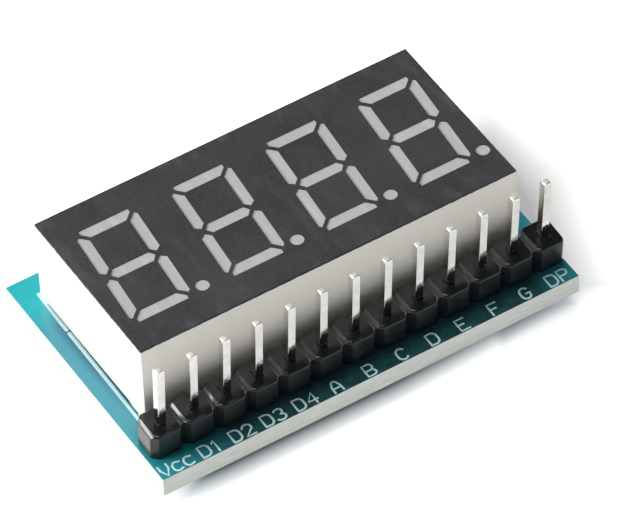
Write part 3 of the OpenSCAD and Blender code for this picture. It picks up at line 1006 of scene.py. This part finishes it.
# %% Resistors in place
RESISTORS = [f"base_resistor_{i + 1}" for i in range(4)]
RESISTORS += [f"segment_resistor_{i + 1}" for i in range(8)]
CROOKED = 0.05
model = resistor_model(*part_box(RESISTORS[0]))
for node in RESISTORS:
    at = middle_of(node)
    turn = Matrix.Rotation(random.uniform(-CROOKED, CROOKED), 4, "Z")
    crooked = Matrix.Translation(at) @ turn @ Matrix.Translation(-at)
    step = Matrix.Translation(at - middle_of(RESISTORS[0]))
    piece = copied(model, node.replace("resistor", "chip"), crooked @ step)
    adopt(piece, "resistor_body", node)
bpy.data.objects.remove(model)
print("resistors:", len(RESISTORS))

# %% [markdown]
# ## The transistors
# Each digit is switched by a small transistor: a black case with sloping sides and three bent
# tinned legs. The case is a plate at the parting line, extruded both ways and made smaller. A leg
# is a strip that grows edge by edge along its bends, and Solidify gives the strip its thickness.
# %% One transistor
case_black = grained_finish("transistor_case", (0.014, 0.014, 0.015), (0.03, 0.03, 0.032), 0.2, 0.45)
CASE_SIZE = Vector((2.9, 1.3, 0.95)) * MM
CASE_TAPER = (0.95, 0.88)
CASE_ROUND = 0.04 * MM
LEG_ROUND = 0.03 * MM
LEG_W = 0.42 * MM
LEG_T = 0.12 * MM
LEG_SPOTS = [(-0.95 * MM, -1), (0.95 * MM, -1), (0, 1)]


def transistor_case(at):
    bpy.ops.mesh.primitive_plane_add(size=1, location=at)
    case = bpy.context.object
    case.scale = (CASE_SIZE.x, CASE_SIZE.y, 1)
    settle(case)
    edit(case)
    extrude((0, 0, CASE_SIZE.z / 2), CASE_TAPER)
    pick(case, "faces", lambda f: abs(f.calc_center_median().z - at.z) < TOUCH)
    extrude((0, 0, -CASE_SIZE.z / 2), CASE_TAPER)
    close_outwards()
    round_edges(case, CASE_ROUND, angle=15)
    paint(case, case_black)
    return case


def transistor_leg(at, x, way, reach):
    """A strip from the case's side, up to the board and out along it."""
    side = CASE_SIZE.y / 2
    knee = (reach - side) / 2
    rise = board_lo.z - LEG_T / 2 - at.z
    middle_y = at.y + way * (side + knee / 2)
    bpy.ops.mesh.primitive_plane_add(size=1, location=(at.x + x, middle_y, at.z))
    leg = bpy.context.object
    leg.scale = (LEG_W, knee, 1)
    settle(leg)
    edit(leg)
    pick(leg, "edges", lambda e: way * (middle(e).y - at.y) > side + knee * 0.9)
    for move in ((0, way * knee * 0.3, rise), (0, way * knee * 0.7, 0)):
        bpy.ops.mesh.extrude_edges_move(TRANSFORM_OT_translate={"value": move})
    close_outwards()
    modify(leg, "SOLIDIFY", thickness=LEG_T, offset=0)
    round_edges(leg, LEG_ROUND)
    paint(leg, tin)
    return leg


# %% Transistors in place
TRANSISTORS = [f"transistor_{i + 1}" for i in range(4)]
lo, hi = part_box(TRANSISTORS[0])
leg_reach = (hi.y - lo.y) / 2
centre = Vector(((lo.x + hi.x) / 2, (lo.y + hi.y) / 2, lo.z + CASE_SIZE.z / 2))
case = transistor_case(centre)
legs = [transistor_leg(centre, x, way, leg_reach) for x, way in LEG_SPOTS]
model = joined([case] + legs, "transistor_model")
smooth(model)
for node in TRANSISTORS:
    step = middle_of(node) - middle_of(TRANSISTORS[0])
    piece = copied(model, node.replace("transistor", "switch"), Matrix.Translation(step))
    adopt(piece, "transistor_case", node)
bpy.data.objects.remove(model)
print("transistors:", len(TRANSISTORS))

# %% [markdown]
# The small parts' own solder is a wedge at each end, with a hollow face. CAD has the wedges, so
# they keep their shape here and get the same solder as the joints.
# %% Solder of the small parts
paint(nodes["small_part_solder"], solder)

# %% [markdown]
# ## Copper under the board
# Etched foil joins the header to the resistors, the transistors and the display's pins. The mask
# covers it, so a track shows only as a paler, slightly raised line. Where a part is soldered, the
# foil is bare and tinned. Tracks are strokes like the letters. The base tracks turn at levels that
# step down from digit to digit, so that none crosses another.
# %% Tracks
TRACK_W = 0.2 * MM
SUPPLY_W = 0.5 * MM
FOIL_T = 0.03 * MM
VIA_STEP = 1.2 * MM
VIA_BEHIND = 0.46 * MM
TOP_LEVEL = 1.45 * MM
LEVEL_STEP = 0.25 * MM
over_track = grained_finish("mask_over_track", (0.05, 0.35, 0.38), (0.04, 0.30, 0.33), 0.5, 0.2)

resistor_ends = [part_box(node) for node in RESISTORS]
cases = [middle_of(node) for node in TRANSISTORS]
case_y = cases[0].y
left_to_right = sorted(display_spots, key=lambda spot: spot.x)
front_row = [spot for spot in left_to_right if spot.y < case_y]
back_row = [spot for spot in left_to_right if spot.y > case_y]

routes, via_spots = [], []
for (x, y), (end_lo, end_hi) in zip(header_spots[1:], resistor_ends):
    routes.append([(x, y), (x, end_lo.y)])
for k, ((end_lo, end_hi), at) in enumerate(zip(resistor_ends, cases)):
    x, leg_x = header_spots[k + 1][0], at.x + LEG_SPOTS[0][0]
    level = end_hi.y + TOP_LEVEL - LEVEL_STEP * k
    routes.append([(x, end_hi.y), (x, level), (leg_x, level), (leg_x, at.y - leg_reach)])
for x, y in header_spots[5:]:
    via_spots.append((x, resistor_ends[0][1].y + VIA_BEHIND))
for at, pin in zip(cases, (back_row[0], back_row[1], back_row[4], back_row[5])):
    slope = pin.y - at.y - leg_reach
    turn_x = at.x + math.copysign(min(slope, abs(pin.x - at.x)), pin.x - at.x)
    routes.append([(at.x, at.y + leg_reach), (turn_x, pin.y), (pin.x, pin.y)])
for pin, way in [(pin, 1) for pin in front_row] + [(pin, -1) for pin in back_row[2:4]]:
    via_spots.append((pin.x, pin.y + way * VIA_STEP))
    routes.append([(pin.x, pin.y), via_spots[-1]])
tracks = pressed(strokes_of(routes, TRACK_W, "tracks"), board_lo.z, -1, FOIL_T, over_track)
adopt(tracks, "circuit_board")

leg_xs = [at.x + LEG_SPOTS[1][0] for at in cases]
supply = [[header_spots[0], (header_spots[0][0], case_y), (leg_xs[-1], case_y),
           (leg_xs[-1], case_y - leg_reach)]]
supply += [[(x, case_y), (x, case_y - leg_reach)] for x in leg_xs[:-1]]
bus = pressed(strokes_of(supply, SUPPLY_W, "supply_track"), board_lo.z, -1, FOIL_T, over_track)
adopt(bus, "circuit_board")
print("tracks:", len(routes) + len(supply))

# %% [markdown]
# A via is a small ring of foil around a drilled hole. The mask sinks into the hole and leaves a
# dimple, so a thin cylinder has its lower face inset and pushed in. A pad is a thin tinned block.
# %% Vias and pads
VIA_R = 0.17 * MM
VIA_RING = 0.45
VIA_DIMPLE = 0.6
PAD_OUT = 0.33 * MM
PAD_IN = 0.35 * MM
PAD_ROUND = 0.008 * MM


def repeated(model, name, places):
    """Copies of a model at the places, joined to one piece. The model is removed."""
    twins = [copied(model, name, Matrix.Translation(place)) for place in places]
    bpy.data.objects.remove(model)
    return joined(twins, name)


bpy.ops.mesh.primitive_cylinder_add(vertices=16, radius=VIA_R, depth=FOIL_T)
via = bpy.context.object
edit(via)
pick(via, "faces", lambda f: f.normal.z < -0.9)
bpy.ops.mesh.inset(thickness=VIA_R * VIA_RING)
extrude((0, 0, FOIL_T * VIA_DIMPLE), (0.8, 0.8))
close()
paint(via, over_track)
foil_z = board_lo.z - FOIL_T / 2
adopt(repeated(via, "vias", [(x, y, foil_z) for x, y in via_spots]), "circuit_board")


def solder_pads(name, width, length, places):
    """Thin tinned blocks of one size, joined to one piece."""
    pad = block((width, length, FOIL_T), (0, 0, 0), PAD_ROUND)
    paint(pad, solder)
    adopt(repeated(pad, name, places), "solder")


outwards = (PAD_OUT - PAD_IN) / 2
cap_spots = [((low.x + high.x) / 2, y, foil_z) for low, high in resistor_ends
             for y in (low.y - outwards, high.y + outwards)]
solder_pads("resistor_pads", width=0.9 * MM, length=PAD_OUT + PAD_IN, places=cap_spots)
leg_ends = [(at.x + x, at.y + way * leg_reach, foil_z) for at in cases for x, way in LEG_SPOTS]
solder_pads("leg_pads", width=0.62 * MM, length=0.8 * MM, places=leg_ends)
print("vias:", len(via_spots), "pads:", len(cap_spots) + len(leg_ends))

# %% Part outlines
OUTLINE_W = 0.12 * MM
BESIDE = 0.22 * MM
sides = []
for low, high in resistor_ends:
    for x in (low.x - BESIDE, high.x + BESIDE):
        sides.append([(x, low.y + PAD_IN), (x, high.y - PAD_IN)])
for at in cases:
    for way in (1, -1):
        x = at.x + way * (CASE_SIZE.x / 2 + BESIDE)
        sides.append([(x, at.y - CASE_SIZE.y / 2), (x, at.y + CASE_SIZE.y / 2)])
adopt(pressed(strokes_of(sides, OUTLINE_W, "part_outlines"), board_lo.z, -1), "circuit_board")

# %% [markdown]
# ## The floor and the light
# The module lies on a pale sheet. The key light is a wide soft lamp to the left and a little
# behind, so the left wall is the brightest side and the label strip lies in the header's shade.
# The sheet and the world glow white to the camera alone. Reflections and the light that falls on
# the part get dimmer values of their own. Near the part the glow fades out, so the lamps' shade
# shows there, and the fade is shaped, widest to the right, which paints a soft shadow beside the
# part. Reflections see the sheet brighter from just in front of the board backwards, a painted
# reflection. A low light lies on the sheet in front and shines up. Neither the camera nor
# reflections see it.
# %% Floor
def floor_finish():
    material = bpy.data.materials.new("pale_sheet")
    material.use_nodes = True
    tree = material.node_tree
    tree.nodes.clear()
    path = add(tree, "ShaderNodeLightPath").outputs
    at = place_in(tree)
    beside = math_of(tree, "SUBTRACT", math_of(tree, "ABSOLUTE", at["X"], 0.0), board_hi.x)
    before = math_of(tree, "SUBTRACT", math_of(tree, "ABSOLUTE", at["Y"], 0.0), board_hi.y)
    wider = ramp(tree, at["X"], 2.0 * MM, 16.0 * MM, -0.15 * MM, 0.6 * MM)
    open_right = math_of(tree, "ADD", before, wider)
    clear = math_of(tree, "MAXIMUM", ramp(tree, open_right, -1.25 * MM, 0.4 * MM),
                    ramp(tree, beside, -4.0 * MM, 0.5 * MM))
    # Painted shadow: to the right of the part the glow to the camera stays low for about 5.5 mm.
    shade_end = ramp(tree, at["Y"], -9.0 * MM, 0.0, -0.5 * MM, 2.6 * MM)
    right = ramp(tree, math_of(tree, "SUBTRACT", beside, shade_end), 0.0, 5.5 * MM, 0.0, 0.9)
    front = ramp(tree, at["Y"], -11.0 * MM, -8.0 * MM, 0.9, 0.0)
    back = ramp(tree, at["Y"], 4.0 * MM, 14.0 * MM, 0.0, 0.9)
    left = ramp(tree, at["X"], 10.0 * MM, 12.0 * MM, 0.9, 0.0)
    open_sides = math_of(tree, "MAXIMUM", math_of(tree, "MAXIMUM", right, front),
                         math_of(tree, "MAXIMUM", left, back))
    # Painted reflection: reflections see the sheet brighter from just in front of the board
    # backwards.
    painted_reflection_glow = ramp(tree, at["Y"], -12.6 * MM, -12.2 * MM, 0.3, 0.5)
    to_camera = times(tree, path["Is Camera Ray"], times(tree, clear, open_sides))
    to_gloss = times(tree, path["Is Glossy Ray"], times(tree, clear, painted_reflection_glow))
    to_rest = times(tree, path["Is Diffuse Ray"], times(tree, clear, 0.42))
    strength = math_of(tree, "ADD", to_camera, math_of(tree, "ADD", to_gloss, to_rest))
    lit = add(tree, "ShaderNodeBsdfDiffuse", {"Color": (0.82, 0.82, 0.82, 1)})
    glow = add(tree, "ShaderNodeEmission", {"Color": (1, 1, 1, 1), "Strength": strength})
    both = add(tree, "ShaderNodeAddShader")
    tree.links.new(lit.outputs[0], both.inputs[0])
    tree.links.new(glow.outputs[0], both.inputs[1])
    out = add(tree, "ShaderNodeOutputMaterial")
    tree.links.new(both.outputs[0], out.inputs["Surface"])
    return material


bpy.ops.mesh.primitive_plane_add(size=2.0, location=(0, 0, 0))
floor = bpy.context.object
floor.name = "floor"
paint(floor, floor_finish())

# %% Lamps
LAMP_DISTANCE = 0.8


def area_lamp(name, place, turn, size, watts):
    """A lamp of a width and height, in metres, at a place."""
    bpy.ops.object.light_add(type="AREA", location=place)
    lamp = bpy.context.object
    lamp.name = name
    lamp.rotation_euler = turn
    lamp.data.shape = "RECTANGLE"
    lamp.data.size, lamp.data.size_y = size
    lamp.data.energy = watts
    return lamp


def soft_lamp(name, direction, size, watts):
    """An area lamp that looks at the part from a direction."""
    place = Vector(direction).normalized() * LAMP_DISTANCE
    area_lamp(name, place, (-place).to_track_quat("-Z", "Y").to_euler(), size, watts)


soft_lamp("key_lamp", (-0.80, 0.38, 0.415), (0.5, 0.32), 5.25)
soft_lamp("top_lamp", (0.0, 0.27, 1.0), (0.35, 0.35), 2.3)

# %% Low light
LOW_PLACE = (-12 * MM, -42 * MM, 0.4 * MM)
LOW_SIZE = (80 * MM, 50 * MM)
LOW_WATTS = 1.25 * math.pi * LOW_SIZE[0] * LOW_SIZE[1]
UPWARDS = (math.pi, 0, 0)
low_light = area_lamp("low_light", LOW_PLACE, UPWARDS, LOW_SIZE, LOW_WATTS)
low_light.visible_camera = False
low_light.visible_glossy = False

# %% World
world = bpy.data.worlds.new("studio")
world.use_nodes = True
tree = world.node_tree
tree.nodes.clear()
path = add(tree, "ShaderNodeLightPath").outputs
ray = add(tree, "ShaderNodeTexCoord").outputs["Generated"]
aimed = add(tree, "ShaderNodeSeparateXYZ", {"Vector": ray}).outputs
seen_by_gloss = ramp(tree, aimed["Z"], 0.30, 0.50, 1.0, 0.05)
from_left = ramp(tree, aimed["X"], -0.9, 0.9, 2.2, 0.4)
seen_by_rest = times(tree, from_left, ramp(tree, aimed["Z"], 0.10, 0.35, 0.5, 0.15))
sheen = times(tree, path["Is Glossy Ray"], seen_by_gloss)
plain = times(tree, path["Is Diffuse Ray"], seen_by_rest)
strength = math_of(tree, "MAXIMUM", path["Is Camera Ray"], math_of(tree, "MAXIMUM", plain, sheen))
sky = add(tree, "ShaderNodeBackground", {"Color": (1, 1, 1, 1), "Strength": strength})
out = add(tree, "ShaderNodeOutputWorld")
tree.links.new(sky.outputs[0], out.inputs["Surface"])
bpy.context.scene.world = world
bpy.context.scene.view_settings.view_transform = "Standard"
